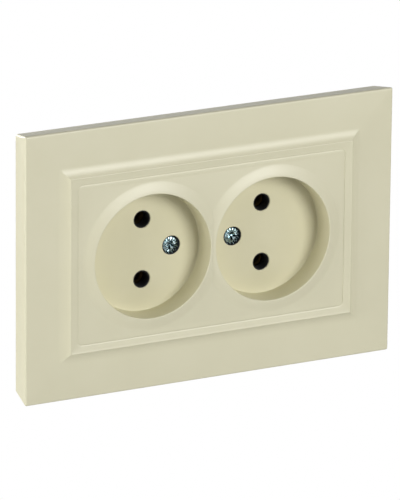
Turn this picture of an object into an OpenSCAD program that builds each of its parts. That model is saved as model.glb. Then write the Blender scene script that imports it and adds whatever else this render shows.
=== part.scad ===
// Two-gang unearthed wall socket: a cream frame and cover over a black
// mechanism with a steel yoke, brass contacts and spreading box claws.
// Millimetres. +X is right, +Z is up, the socket faces -Y, and the wall
// plane is y = 0, so everything in front of the wall has a negative y.

/* [Frame] */
// Width across the frame's front, before its edges are rounded
frame_w = 124.6; // [118:0.1:150]
// Height across the frame's front, before its edges are rounded
frame_h = 84.8; // [80:0.1:102]
// How far the frame's flat stands off the wall
frame_d = 9.2; // [8.5:0.1:12]
// How much each short side leans in towards the wall
side_lean = 1.2; // [0:0.1:2]
// How much the top and bottom sides lean in towards the wall
top_lean = 1.7; // [0:0.1:2]
// Thickness of the frame's walls
frame_wall = 2.2; // [1.6:0.1:2.8]
// Rounding of the frame's front edges
frame_edge_r = 0.6; // [0.4:0.1:1.5]
// Rounding of the frame's four corners
frame_corner_r = 1; // [0.8:0.1:3]
// How far the moulding's crest stands proud of the flat
crest_rise = 1.45; // [0.8:0.05:2]
// Width of the hollow cove outside the crest
cove_w = 3.2; // [2:0.1:4]
// Width of the sloping strip inside the crest
strip_w = 2.4; // [1.5:0.1:3.5]
// How far that strip falls towards the cover
strip_fall = 0.3; // [0.1:0.05:0.6]
// How far the ledge reaches in under the cover's edge
ledge_w = 1.5; // [0.8:0.1:2]
// Thickness of that ledge
ledge_t = 1; // [0.8:0.1:1.2]

/* [Cover] */
// Width of the cover
cover_w = 90.3; // [88:0.1:108]
// Height of the cover
cover_h = 50; // [49:0.1:58]
// Rounding of the cover's corners
cover_corner_r = 1.2; // [0.5:0.1:2.5]
// Rounding of the cover's front edge
cover_edge_r = 0.5; // [0.2:0.1:0.8]
// Thickness of the cover's plate
cover_t = 2; // [1.5:0.1:2.4]
// How far the cover's plate stands proud of the frame's flat
cover_proud = 1.1; // [0.5:0.1:1.8]
// Narrow gap all round between the cover and the frame
seam_gap = 0.3; // [0.2:0.05:0.4]

/* [Wells] */
// Distance between the two wells' centres
well_pitch = 40.8; // [40.4:0.1:44]
// Inner radius of each well
well_r = 19.45; // [18.9:0.05:19.6]
// Wall thickness of each well
well_wall = 1.5; // [1.2:0.1:1.8]
// How far each well's rim stands proud of the frame's flat
rim_proud = 2; // [1.5:0.1:2.6]
// Width of the rim's sloping outside
rim_w = 3.7; // [2.5:0.1:4]
// How far each well's floor lies behind the frame's flat
floor_drop = 5.86; // [4.5:0.01:5.9]
// Spacing of the two pin holes in each well
pin_pitch = 19; // [18:0.1:19.5]
// Radius of a pin hole
pin_hole_r = 2.78; // [2.5:0.01:3]

/* [Cover screws] */
// How far each cover screw lies inwards of its well's centre
screw_inset = 9.93; // [9:0.01:11]
// Radius of the screw's head
head_r = 2.75; // [2.4:0.05:3]
// Thickness of the screw's head
head_t = 1.75; // [1.4:0.05:1.9]
// Radius of the screw's shank
shank_r = 1.5; // [1.25:0.05:1.6]
// Length of the shank under the head
shank_l = 9; // [7:0.5:10]
// Radius of the boss that the head sinks into
boss_r = 4.2; // [3.9:0.1:4.4]

/* [Yoke] */
// Width of the steel yoke
yoke_w = 72; // [66:1:88]
// Height of the steel yoke
yoke_h = 71; // [69:1:74]
// Thickness of the steel yoke
yoke_t = 1.2; // [1:0.1:1.3]
// Spacing of the two box screw slots
slot_pitch = 60; // [58:0.5:61]
// Width of a slot
slot_w = 3.6; // [3.4:0.1:4.2]
// End-to-end length of a slot
slot_l = 6.5; // [5:0.5:7]

/* [Base] */
// Radius that the base is turned to, to go into a round box
base_r = 28; // [27.6:0.1:29]
// Width across the base's flat sides
base_w = 54; // [52:0.5:56]
// Height across the base's flat top and bottom
base_h = 36; // [35.8:0.1:36.4]
// Depth of the base behind the wall plane
base_d = 19.5; // [19:0.5:24]
// Width of the front block that comes through the yoke
block_w = 50; // [49:0.5:54]
// Height of the front block that comes through the yoke
block_h = 26.4; // [26:0.1:27.4]
// Thickness of the rear cover
rear_t = 1.5; // [1:0.1:2.5]

/* [Contacts] */
// Inner radius of a contact sleeve
sleeve_r = 2.3; // [2:0.05:2.4]
// Wall thickness of a contact sleeve
sleeve_t = 0.9; // [0.6:0.05:0.95]
// Width of a busbar
bar_w = 6; // [5:0.1:6.4]
// Thickness of a busbar
bar_t = 1; // [0.8:0.1:1.2]
// Where the busbars' front faces lie behind the wall plane
bar_y = 12; // [11.5:0.1:12.2]
// Radius of the spring ring's wire
ring_wire_r = 0.4; // [0.3:0.05:0.45]

/* [Terminals] */
// Distance of each terminal screw above or below the middle
terminal_z = 13.6; // [13.4:0.1:13.7]
// Width of a clamp plate
clamp_w = 9; // [8:0.1:9.6]
// Thickness of a clamp plate
clamp_t = 1.2; // [1:0.1:1.3]
// Open gap for the wire between the busbar and the clamp plate
wire_gap = 2.5; // [2.4:0.1:2.6]
// Radius of a wire hole
wire_hole_r = 1.2; // [1:0.05:1.2]
// How far the two wire holes of a terminal lie either side of its screw
wire_x = 2.9; // [2.8:0.1:3.4]

/* [Claws] */
// Sideways place of a claw
claw_x = 9; // [8.5:0.1:9.5]
// Width of a claw
claw_w = 7; // [6:0.1:7.4]
// Height of the claw's pivot above the middle
claw_z = 24.5; // [24.4:0.1:25]
// Thickness of the claw's strip
claw_t = 1.2; // [1:0.1:1.4]
// Length of the claw's arm behind its pivot
claw_l = 15; // [12:0.5:17]
// Distance from the pivot to the claw screw
claw_lever = 3.5; // [3.3:0.1:3.6]
// Radius of a claw pin
claw_pin_r = 0.9; // [0.7:0.05:1]

/* [Hidden] */

cream = [0.82, 0.80, 0.70];
zinc = [0.72, 0.74, 0.77];
brass = [0.80, 0.66, 0.36];
black = [0.07, 0.07, 0.07];

gap = 0.3;        // between pieces that are not in one body
fit = 0.1;        // round a piece seated in its own body
run = 0.05;       // round a shaft, pin or thread that turns
thread = 0.05;    // between a screw's crest and its nut's wall
past = 1;         // how far a cut runs past the face it opens

// planes, as y values
flat_y = -frame_d;
crest_y = flat_y - crest_rise;
cover_y = flat_y - cover_proud;
cover_back_y = cover_y + cover_t;
rim_y = flat_y - rim_proud;
floor_y = flat_y + floor_drop;
yoke_y = -yoke_t;
floor_back_y = yoke_y - gap;
block_y = yoke_y;

// the opening in the frame and what surrounds it
window_w = cover_w + 2 * seam_gap;
window_h = cover_h + 2 * seam_gap;
crest_w = window_w + 2 * strip_w;
crest_h = window_h + 2 * strip_w;
cove_r = (cove_w * cove_w + crest_rise * crest_rise) / (2 * crest_rise);
ledge_y = cover_back_y + gap;

// wells and screws
well_x = well_pitch / 2;
pin_z = pin_pitch / 2;
screw_x = well_x - screw_inset;
head_y = floor_y + 0.24;
seat_y = head_y + head_t + run;
boss_y = 1;
recess_y = boss_y + gap;
insert_r = 2.6;
insert_l = 7;
insert_y = recess_y + 0.2;

// contacts and terminals
front_wall_y = 1.2;
sleeve_or = sleeve_r + sleeve_t;
ring_mid_r = sleeve_or + run + ring_wire_r;
cell_r = ring_mid_r + ring_wire_r + 0.2;
sleeve_y = front_wall_y + 0.6;
ring_y = sleeve_y + 2.4;
bar_back_y = bar_y + bar_t;
bar_room = 0.4;
nut_r = 2.6;
nut_l = 2.6;
tab_w = 7;
terminal_shank_r = 1.5;
terminal_head_r = 2.6;
terminal_head_t = 1.9;
clamp_y = bar_back_y + wire_gap;
clamp_h = 5.3;
clamp_travel = 1.6;
terminal_head_y = clamp_y + clamp_t + fit;
terminal_tip_y = bar_y - nut_l + 0.2;
wire_y = bar_back_y + wire_hole_r;
tab_top_z = base_h / 2 - 1.7;
chamber_top_z = base_h / 2 - 1.5;
chamber_w = clamp_w + 1.4;

// small fixings
flange_l = 3.2;
fixing_z = (block_h / 2 + base_h / 2) / 2 + 0.4;
fixing_r = 1.1;
fixing_head_r = 2.2;
fixing_head_t = 1.2;
fixing_l = 6;
rear_screw_x = 18;
rear_screw_l = 6;

// claws
ear_t = 1;
knuckle_r = claw_pin_r + run + 1;
pivot_y = knuckle_r + 1.7;
ear_z = knuckle_r;
claw_screw_z = claw_z - claw_lever;
claw_screw_r = 1.45;
claw_head_r = 2.4;
claw_head_t = 1.8;
collar_r = 2.7;
collar_l = 1.6;
foot_y = pivot_y - claw_t / 2;
claw_tip_y = foot_y - gap;
foot_l = claw_lever + 2.2;
tooth_h = 1.2;

// ---------- shared shapes ----------

// Extrude an outline drawn as (x, z) from y0 to y1
module slab(y0, y1)
    translate([0, y1, 0]) rotate([90, 0, 0]) linear_extrude(y1 - y0) children();

// Round bar along Y from y0 to y1
module rod(r, y0, y1)
    translate([0, y0, 0]) rotate([-90, 0, 0]) cylinder(r = r, h = y1 - y0, $fn = 72);

// Spin a profile drawn as (radius, y) about the Y axis
module spun() rotate([90, 0, 0]) rotate_extrude($fn = 96) mirror([0, 1]) children();

// Extrude a profile drawn as (x, y) along Z, and one drawn as (z, y) along X
module along_z(l) translate([0, 0, -l / 2]) linear_extrude(l) children();
module along_x(l) rotate([0, -90, 0]) translate([0, 0, -l / 2]) linear_extrude(l) children();

// Rectangle with rounded corners
module round_rect(w, h, r) {
    square([w - 2 * r, h], center = true);
    square([w, h - 2 * r], center = true);
    for (x = [-1, 1], z = [-1, 1])
        translate([x * (w / 2 - r), z * (h / 2 - r)]) circle(r = r, $fn = 48);
}

// Points of an arc, with n steps from angle a0 to a1
function arc(cx, cy, r, a0, a1, n) =
    [for (i = [0:n]) [cx + r * cos(a0 + (a1 - a0) * i / n), cy + r * sin(a0 + (a1 - a0) * i / n)]];

// One half of the frame's section: it is `half` wide in front and `back`
// wide at the wall, with a rounded front edge and the raised, coved moulding
function frame_half(half, back, crest) =
    let (t = half - back, l = sqrt(t * t + frame_d * frame_d), r = frame_edge_r)
    concat([[back, 0]],
        arc(half - r * (l + t) / frame_d, flat_y + r, r, atan2(t, frame_d), -90, 6),
        arc(crest + cove_w, flat_y - cove_r, cove_r, 90, atan2(cove_r - crest_rise, -cove_w), 8));

module frame_profile(half, back, crest) {
    side = frame_half(half, back, crest);
    n = len(side) - 1;
    polygon(concat(side, [for (i = [0:n]) [-side[n - i][0], side[n - i][1]]]));
}

// Profile of what is cut away above the strip inside the crest
module strip_profile(crest) {
    slope = strip_fall / strip_w;
    inner = crest - strip_w - 1;
    polygon([[-crest, crest_y], [-crest, crest_y - past], [crest, crest_y - past],
        [crest, crest_y], [inner, crest_y + slope * (strip_w + 1)],
        [-inner, crest_y + slope * (strip_w + 1)]]);
}

// Cross recess of a screw head, from its face y0 to y1
module cross_recess(y0, y1, w, l) {
    for (a = [45, 135]) rotate([0, a, 0])
        translate([-l / 2, y0 - past, -w / 2]) cube([l, y1 - y0 + past, w]);
    rod(w * 0.8, y0 - past, y1);
}

// Pan-head screw along +Y: head face at y = 0, then the shank
module pan_screw(hr, ht, sr, sl, slot) {
    difference() {
        union() {
            spun() polygon([[0, 0], [hr - 0.7, 0], [hr - 0.2, 0.25], [hr, 0.7],
                [hr, ht], [0, ht]]);
            rod(sr, ht - 0.2, ht + sl - 0.4);
            spun() polygon([[0, ht + sl - 0.5], [sr, ht + sl - 0.5],
                [sr - 0.4, ht + sl], [0, ht + sl]]);
        }
        cross_recess(0, ht * 0.62, slot, hr * 1.15);
    }
}

// ---------- frame and cover ----------

module outer_frame() color(cream) difference() {
    intersection() {
        along_z(frame_h + 4)
            frame_profile(frame_w / 2, frame_w / 2 - side_lean, crest_w / 2);
        along_x(frame_w + 4)
            frame_profile(frame_h / 2, frame_h / 2 - top_lean, crest_h / 2);
        slab(crest_y - past, past) round_rect(frame_w, frame_h, frame_corner_r);
    }
    // the strip that falls from the crest to the cover
    intersection() {
        along_z(frame_h) strip_profile(crest_w / 2);
        along_x(frame_w) strip_profile(crest_h / 2);
    }
    // opening for the cover, and the smaller one inside the ledge
    slab(crest_y - past, ledge_y)
        round_rect(window_w, window_h, cover_corner_r + seam_gap);
    slab(crest_y - past, past)
        round_rect(window_w - 2 * ledge_w, window_h - 2 * ledge_w, cover_corner_r);
    // hollow back, deeper outside the ledge
    intersection() {
        along_z(frame_h) polygon([
            [-(frame_w / 2 - side_lean - frame_wall), past],
            [frame_w / 2 - side_lean - frame_wall, past],
            [frame_w / 2 - frame_wall - 0.3, ledge_y + ledge_t],
            [-(frame_w / 2 - frame_wall - 0.3), ledge_y + ledge_t]]);
        along_x(frame_w) polygon([
            [-(frame_h / 2 - top_lean - frame_wall), past],
            [frame_h / 2 - top_lean - frame_wall, past],
            [frame_h / 2 - frame_wall - 0.3, ledge_y + ledge_t],
            [-(frame_h / 2 - frame_wall - 0.3), ledge_y + ledge_t]]);
    }
}

// Profile that takes the cover's front edge off in two small facets
module edge_profile(half) {
    e = cover_edge_r;
    polygon([[-half - 1, cover_back_y + 1], [half + 1, cover_back_y + 1],
        [half + 1, cover_y + e + 2.4], [half - 0.3 * e, cover_y + 0.3 * e],
        [half - e, cover_y], [-half + e, cover_y],
        [-half + 0.3 * e, cover_y + 0.3 * e], [-half - 1, cover_y + e + 2.4]]);
}

// One well's rim, cup and boss
module well_body() {
    slope = (rim_proud - cover_proud) / (rim_w - 0.45);
    spun() polygon([
        [well_r - 0.6, cover_back_y - 0.2],
        [well_r - 0.6, rim_y + 0.35],
        [well_r + 0.15, rim_y + 0.05],
        [well_r + 0.45, rim_y],
        [well_r + rim_w, cover_y],
        [well_r + rim_w + 0.8, cover_y + 0.8 * slope],
        [well_r + rim_w + 0.8, cover_back_y - 0.2]]);
    rod(well_r + well_wall, cover_back_y - 0.2, floor_back_y);
}

module front_cover() color(cream) difference() {
    union() {
        intersection() {
            along_z(cover_h + 4) edge_profile(cover_w / 2);
            along_x(cover_w + 4) edge_profile(cover_h / 2);
            slab(cover_y - past, cover_back_y) round_rect(cover_w, cover_h, cover_corner_r);
        }
        for (s = [-1, 1]) translate([s * well_x, 0, 0]) well_body();
        for (s = [-1, 1]) translate([s * screw_x, 0, 0]) rod(boss_r, floor_back_y - 1, boss_y);
    }
    for (s = [-1, 1]) translate([s * well_x, 0, 0]) {
        rod(well_r, rim_y - past, floor_y);
        for (z = [-1, 1]) translate([0, 0, z * pin_z]) rod(pin_hole_r, floor_y - past, past);
    }
    for (s = [-1, 1]) translate([s * screw_x, 0, 0]) {
        rod(head_r + 0.35, floor_y - past, seat_y);
        rod(shank_r + 0.25, floor_y - past, boss_y + past);
    }
}

module cover_screw(s) color(zinc) translate([s * screw_x, head_y, 0])
    pan_screw(head_r, head_t, shank_r, shank_l, 0.8);
module cover_screw_left() cover_screw(-1);
module cover_screw_right() cover_screw(1);

// ---------- yoke, base and what holds them together ----------

// One claw's side of the yoke: the ears that carry its pin
module claw_ears() for (s = [-1, 1])
    translate([claw_x + s * (claw_w / 2 + gap + ear_t / 2), 0, claw_z])
        difference() {
            union() {
                translate([-ear_t / 2, -0.2, -ear_z]) cube([ear_t, pivot_y + 0.2, 2 * ear_z]);
                translate([-ear_t / 2, pivot_y, 0]) rotate([0, 90, 0])
                    cylinder(r = ear_z, h = ear_t, $fn = 48);
            }
            translate([-ear_t, pivot_y, 0]) rotate([0, 90, 0])
                cylinder(r = claw_pin_r + 0.02, h = 2 * ear_t, $fn = 48);
        }

module support_plate() color(zinc) difference() {
    union() {
        slab(yoke_y, 0) difference() {
            round_rect(yoke_w, yoke_h, 6);
            square([block_w + 2 * fit, block_h + 2 * fit], center = true);
            for (z = [-1, 1]) translate([0, z * slot_pitch / 2]) {
                square([slot_w, slot_l - slot_w], center = true);
                for (e = [-1, 1]) translate([0, e * (slot_l - slot_w) / 2])
                    circle(r = slot_w / 2, $fn = 48);
            }
        }
        for (a = [0, 180]) rotate([0, a, 0]) {
            claw_ears();
            translate([claw_x, 0, claw_screw_z]) rod(collar_r, -0.2, collar_l);
        }
        // stiffening flanges, turned forwards so that the back lies on the wall
        for (s = [-1, 1]) translate([0, -flange_l / 2, s * (yoke_h / 2 - yoke_t / 2)])
            cube([yoke_w - 24, flange_l, yoke_t], center = true);
    }
    for (a = [0, 180]) rotate([0, a, 0]) {
        translate([claw_x, 0, claw_screw_z]) rod(claw_screw_r + thread, yoke_y - past, collar_l + past);
        translate([0, 0, fixing_z]) rod(fixing_r + 0.3, yoke_y - past, past);
    }
}

// The chamber behind one pole: strip pocket, two contact cells, the
// terminal's chamber and its wire holes
module pole_chamber() {
    slab(bar_y - 0.2, base_d + past) {
        for (s = [-1, 1]) translate([s * well_x, pin_z]) circle(r = bar_w / 2 + bar_room, $fn = 64);
        translate([-well_x, pin_z - bar_w / 2 - bar_room])
            square([2 * well_x, bar_w + 2 * bar_room]);
        translate([-chamber_w / 2, pin_z]) square([chamber_w, chamber_top_z - pin_z]);
    }
    translate([0, 0, terminal_z]) rod(nut_r + gap, terminal_tip_y - clamp_travel - 0.5, bar_y);
    for (s = [-1, 1]) translate([s * well_x, 0, pin_z]) {
        rod(cell_r, front_wall_y, bar_y);
        rod(pin_hole_r, block_y - past, bar_y);
    }
    for (s = [-1, 1]) translate([s * wire_x, wire_y, terminal_z])
        cylinder(r = wire_hole_r, h = base_h / 2 - terminal_z + past, $fn = 48);
}

module base_outline() intersection() {
    square([base_w, base_h], center = true);
    circle(r = base_r, $fn = 128);
}

module base_body() color(black) difference() {
    union() {
        slab(0, base_d) base_outline();
        slab(block_y, 0.5) intersection() {
            square([block_w, block_h], center = true);
            circle(r = base_r, $fn = 128);
        }
    }
    for (a = [0, 180]) rotate([0, a, 0]) {
        pole_chamber();
        translate([0, 0, fixing_z]) rod(fixing_r, block_y - past, fixing_l);
        translate([rear_screw_x, 0, 0]) rod(fixing_r, base_d - rear_screw_l - 0.5, base_d + past);
        translate([screw_x, 0, 0]) {
            rod(boss_r + gap, block_y - past, recess_y);
            rod(insert_r + run, block_y - past, insert_y + insert_l + 0.1);
            rod(shank_r + 0.2, block_y - past, head_y + head_t + shank_l + 1);
        }
    }
}

module rear_cover() color(black) slab(base_d, base_d + rear_t) difference() {
    base_outline();
    for (s = [-1, 1]) {
        translate([0, s * terminal_z]) circle(r = terminal_head_r + 0.4, $fn = 64);
        translate([s * rear_screw_x, 0]) circle(r = fixing_r + 0.2, $fn = 48);
    }
}

module base_screw(s) color(zinc) translate([0, yoke_y - fixing_head_t, s * fixing_z])
    pan_screw(fixing_head_r, fixing_head_t, fixing_r - 0.02, fixing_l + yoke_t - 0.6, 0.7);
module base_screw_upper() base_screw(1);
module base_screw_lower() base_screw(-1);

module rear_screw(s) color(zinc)
    translate([s * rear_screw_x, base_d + rear_t + fixing_head_t, 0]) mirror([0, 1, 0])
        pan_screw(fixing_head_r, fixing_head_t, fixing_r - 0.02, rear_screw_l + rear_t - 0.4, 0.7);
module rear_screw_left() rear_screw(-1);
module rear_screw_right() rear_screw(1);

module cover_insert(s) color(brass) translate([s * screw_x, 0, 0]) difference() {
    union() {
        rod(insert_r, insert_y, insert_y + insert_l * 0.4);
        rod(insert_r - 0.3, insert_y, insert_y + insert_l);
        rod(insert_r, insert_y + insert_l * 0.6, insert_y + insert_l);
    }
    rod(shank_r + thread, insert_y - past, insert_y + insert_l + past);
}
module cover_insert_left() cover_insert(-1);
module cover_insert_right() cover_insert(1);

// ---------- contacts and terminals ----------

module busbar() color(brass) difference() {
    union() {
        slab(bar_y, bar_back_y) {
            for (s = [-1, 1]) translate([s * well_x, pin_z]) circle(r = bar_w / 2, $fn = 64);
            translate([-well_x, pin_z - bar_w / 2]) square([2 * well_x, bar_w]);
            translate([-tab_w / 2, pin_z]) square([tab_w, tab_top_z - pin_z]);
        }
        translate([0, 0, terminal_z]) rod(nut_r, bar_y - nut_l, bar_y + 0.1);
    }
    translate([0, 0, terminal_z]) rod(terminal_shank_r + thread, bar_y - nut_l - past, bar_back_y + past);
}
module busbar_upper() busbar();
module busbar_lower() rotate([0, 180, 0]) busbar();

module contact(s, t) color(brass) translate([s * well_x, 0, t * pin_z]) difference() {
    rod(sleeve_or, sleeve_y, bar_y);
    rod(sleeve_r, sleeve_y - past, bar_y - 1);
    spun() polygon([[0, sleeve_y - 0.1], [sleeve_r + 0.6, sleeve_y - 0.1],
        [sleeve_r - 0.1, sleeve_y + 0.8], [0, sleeve_y + 0.8]]);
    translate([-0.4, sleeve_y - past, -sleeve_or - past])
        cube([0.8, bar_y - sleeve_y - 2 + past, 2 * (sleeve_or + past)]);
}
module contact_upper_left() contact(-1, 1);
module contact_upper_right() contact(1, 1);
module contact_lower_left() contact(-1, -1);
module contact_lower_right() contact(1, -1);

module contact_ring(s, t) color(zinc) translate([s * well_x, ring_y, t * pin_z])
    spun() translate([ring_mid_r, 0]) circle(r = ring_wire_r, $fn = 32);
module contact_ring_upper_left() contact_ring(-1, 1);
module contact_ring_upper_right() contact_ring(1, 1);
module contact_ring_lower_left() contact_ring(-1, -1);
module contact_ring_lower_right() contact_ring(1, -1);

module clamp() color(zinc) difference() {
    translate([-clamp_w / 2, clamp_y, terminal_z - clamp_h / 2])
        cube([clamp_w, clamp_t, clamp_h]);
    translate([0, 0, terminal_z]) rod(terminal_shank_r + fit, clamp_y - past, clamp_y + clamp_t + past);
}
module clamp_upper() clamp();
module clamp_lower() rotate([0, 180, 0]) clamp();

module terminal_screw() color(zinc)
    translate([0, terminal_head_y + terminal_head_t, terminal_z]) mirror([0, 1, 0])
        pan_screw(terminal_head_r, terminal_head_t, terminal_shank_r,
            terminal_head_y - terminal_tip_y, 0.8);
module terminal_screw_upper() terminal_screw();
module terminal_screw_lower() rotate([0, 180, 0]) terminal_screw();

// ---------- claws ----------

// Side profile of a claw, drawn as (z from the pivot, y from the pivot)
module claw_profile() {
    circle(r = knuckle_r, $fn = 48);
    translate([-foot_l, -claw_t / 2]) square([foot_l, claw_t]);
    translate([-claw_t / 2, 0]) square([claw_t, claw_l]);
    // two teeth that bite the box's wall
    polygon([[0, claw_l - 3.4], [claw_t / 2 + tooth_h, claw_l - 1.8], [0, claw_l - 1.6]]);
    polygon([[0, claw_l - 1.8], [claw_t / 2 + tooth_h, claw_l - 0.1], [0, claw_l]]);
}

module claw() color(zinc) difference() {
    translate([claw_x, pivot_y, claw_z]) along_x(claw_w) claw_profile();
    translate([claw_x, pivot_y, claw_z]) rotate([0, 90, 0])
        cylinder(r = claw_pin_r + run, h = claw_w + 2, center = true, $fn = 48);
}
module claw_upper() claw();
module claw_lower() rotate([0, 180, 0]) claw();

module claw_pin() color(zinc) translate([claw_x, pivot_y, claw_z]) rotate([0, 90, 0])
    cylinder(r = claw_pin_r, h = claw_w + 2 * gap + 2 * ear_t + 0.6, center = true, $fn = 48);
module claw_pin_upper() claw_pin();
module claw_pin_lower() rotate([0, 180, 0]) claw_pin();

module claw_screw() color(zinc)
    translate([claw_x, yoke_y - claw_head_t - fit, claw_screw_z])
        pan_screw(claw_head_r, claw_head_t, claw_screw_r, claw_tip_y - yoke_y + fit, 0.8);
module claw_screw_upper() claw_screw();
module claw_screw_lower() rotate([0, 180, 0]) claw_screw();

outer_frame();
front_cover();
cover_screw_left();
cover_screw_right();
support_plate();
base_body();
rear_cover();
base_screw_upper();
base_screw_lower();
rear_screw_left();
rear_screw_right();
cover_insert_left();
cover_insert_right();
busbar_upper();
busbar_lower();
contact_upper_left();
contact_upper_right();
contact_lower_left();
contact_lower_right();
contact_ring_upper_left();
contact_ring_upper_right();
contact_ring_lower_left();
contact_ring_lower_right();
clamp_upper();
clamp_lower();
terminal_screw_upper();
terminal_screw_lower();
claw_upper();
claw_lower();
claw_pin_upper();
claw_pin_lower();
claw_screw_upper();
claw_screw_lower();
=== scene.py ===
"""Two-gang wall socket: its cream frame, cover and screws, and the finishes of its mechanism.

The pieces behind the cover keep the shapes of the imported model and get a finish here. The frame,
the cover and the two cover screws are built anew and stand for their nodes. All is in metres, and
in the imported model's axes: X to the right, Y into the wall, Z up, with the wall's face at Y = 0.
"""

import logging
import math
from dataclasses import dataclass, field
from enum import Enum
from typing import Any, Iterable, Sequence

import bmesh
import bpy
from bmesh.types import BMesh, BMEdge, BMVert
from bpy.types import Material, Node, NodeSocket, NodeTree, Object
from mathutils import Matrix, Vector

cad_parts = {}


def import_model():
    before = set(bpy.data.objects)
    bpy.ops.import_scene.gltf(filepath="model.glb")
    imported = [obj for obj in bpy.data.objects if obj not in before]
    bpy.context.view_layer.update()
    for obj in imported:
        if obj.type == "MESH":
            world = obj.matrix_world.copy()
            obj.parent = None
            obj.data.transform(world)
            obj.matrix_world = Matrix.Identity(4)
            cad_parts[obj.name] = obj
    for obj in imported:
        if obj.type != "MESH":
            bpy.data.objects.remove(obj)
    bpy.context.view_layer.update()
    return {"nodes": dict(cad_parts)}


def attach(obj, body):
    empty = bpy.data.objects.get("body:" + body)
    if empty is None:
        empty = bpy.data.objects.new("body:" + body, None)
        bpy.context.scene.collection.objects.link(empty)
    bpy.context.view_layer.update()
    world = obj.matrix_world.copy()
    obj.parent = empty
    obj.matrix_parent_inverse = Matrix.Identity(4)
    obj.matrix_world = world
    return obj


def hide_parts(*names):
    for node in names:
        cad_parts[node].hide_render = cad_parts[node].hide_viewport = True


LOG = logging.getLogger("socket")
MM = 0.001
WELD = 1e-7  # points nearer than this, in metres, are one point
CUT_WELD = 2e-6  # the same after a cut, whose edges leave points a little apart
SLIVER = 1e-6  # faces thinner than this, in metres, are closed up
CRISP_DEG = 22.0  # edges that turn more than this stay crisp unless a piece says otherwise
ROLL_END_DEG = 42.0  # how steep an edge's soft roll ends
WELL_STEPS = 160  # steps round a well
HOLE_STEPS = 64  # steps round a hole, a boss or a sleeve
NOISE_LOW, NOISE_HIGH = 0.3, 0.7  # where nearly all of a noise's values lie
MOTTLE_STOPS = (0.25, 0.5, 0.75)  # where a mottle's three colours stand on its noise
Profile = Sequence[tuple[float, float]]


class Pole(Enum):
    """The upper and lower row of pin holes; the value is the sign of Z."""

    UPPER = 1
    LOWER = -1


class Side(Enum):
    """The left and right well; the value is the sign of X."""

    LEFT = -1
    RIGHT = 1


# ---------------------------------------------------------------- finishes


def linear(code: str) -> tuple[float, float, float, float]:
    """Turn an sRGB hex colour into the linear colour that a socket takes.

    Args:
        code: Colour such as "#D1CEB5".

    Returns:
        Linear red, green, blue and an alpha of 1.
    """
    parts = [int(code[i : i + 2], 16) / 255 for i in (1, 3, 5)]
    red, green, blue = (c / 12.92 if c <= 0.04045 else ((c + 0.055) / 1.055) ** 2.4 for c in parts)
    return (red, green, blue, 1.0)


def add_node(
    tree: NodeTree, kind: str, links: dict[str | int, Any] | None = None, **settings: Any
) -> Node:
    """Add one shader node with its settings and links.

    Args:
        tree: Tree that the node joins.
        kind: Blender's name of the node, after its ShaderNode.
        links: Input name or number to a value, or to an output socket to link from.
        **settings: Properties set on the node itself.

    Returns:
        The new node.
    """
    node = tree.nodes.new("ShaderNode" + kind)
    for name, value in settings.items():
        setattr(node, name, value)
    for name, value in (links or {}).items():
        if isinstance(value, NodeSocket):
            tree.links.new(value, node.inputs[name])
        else:
            node.inputs[name].default_value = value
    return node


def ramp(node: Node, stops: Sequence[tuple[float, str]]) -> Node:
    """Set the stops of a colour ramp.

    Args:
        node: The colour ramp.
        stops: Position and sRGB hex colour of each stop, in order.

    Returns:
        The same node.
    """
    elements = node.color_ramp.elements
    while len(elements) > len(stops):
        elements.remove(elements[-1])
    while len(elements) < len(stops):
        elements.new(0.5)
    for element, (place, code) in zip(elements, stops):
        element.position = place
        element.color = linear(code)
    return node


@dataclass(frozen=True)
class Finish:
    """A finish with a mottled colour, an uneven roughness and a fine relief.

    The sizes are real ones in millimetres, so a pattern stays the same size on every piece.

    Attributes:
        name: The material's common name and how its surface was made.
        colours: sRGB hex colours of the mottle, from its low spots to its high ones.
        mottle_mm: Width of the mottle's patches.
        roughness: Least and greatest roughness.
        grain_mm: Width of the fine grain that varies the roughness and the relief.
        relief_mm: Height of the grain.
        metallic: 1 for a metal.
        ior: Index of refraction; a metal keeps the default.
        stretch: How the patterns are drawn out along X, Y and Z, as rolled strip's are.
    """

    name: str
    colours: tuple[str, str, str]
    mottle_mm: float
    roughness: tuple[float, float]
    grain_mm: float
    relief_mm: float
    metallic: float = 0.0
    ior: float = 1.5
    stretch: tuple[float, float, float] = (1.0, 1.0, 1.0)

    def make(self) -> Material:
        """Build the material, once.

        Returns:
            The material, shared by all pieces of this finish.
        """
        if self.name in bpy.data.materials:
            return bpy.data.materials[self.name]
        material = bpy.data.materials.new(self.name)
        material.use_nodes = True
        tree = material.node_tree
        tree.nodes.clear()
        place = add_node(tree, "TexCoord").outputs["Object"]
        turned = add_node(tree, "Mapping", {"Vector": place, "Scale": self.stretch})
        point = turned.outputs["Vector"]

        def noise(width_mm: float, detail: float, roughness: float) -> NodeSocket:
            """Add a noise with patches of this width."""
            links = {"Vector": point, "Scale": 1 / (width_mm * MM)}
            links |= {"Detail": detail, "Roughness": roughness}
            return add_node(tree, "TexNoise", links).outputs["Fac"]

        mottle, grain = noise(self.mottle_mm, 4.0, 0.55), noise(self.grain_mm, 3.0, 0.6)
        stops = list(zip(MOTTLE_STOPS, self.colours))
        colour = ramp(add_node(tree, "ValToRGB", {"Fac": mottle}), stops)
        spread = {"Value": grain, "From Min": NOISE_LOW, "From Max": NOISE_HIGH}
        spread |= {"To Min": self.roughness[0], "To Max": self.roughness[1]}
        rough = add_node(tree, "MapRange", spread)
        height = {"Height": grain, "Strength": 1.0, "Distance": self.relief_mm * MM}
        relief = add_node(tree, "Bump", height)
        shader = add_node(
            tree,
            "BsdfPrincipled",
            {
                "Base Color": colour.outputs["Color"],
                "Roughness": rough.outputs["Result"],
                "Normal": relief.outputs["Normal"],
                "Metallic": self.metallic,
                "IOR": self.ior,
            },
        )
        add_node(tree, "OutputMaterial", {"Surface": shader.outputs["BSDF"]})
        return material


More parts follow.
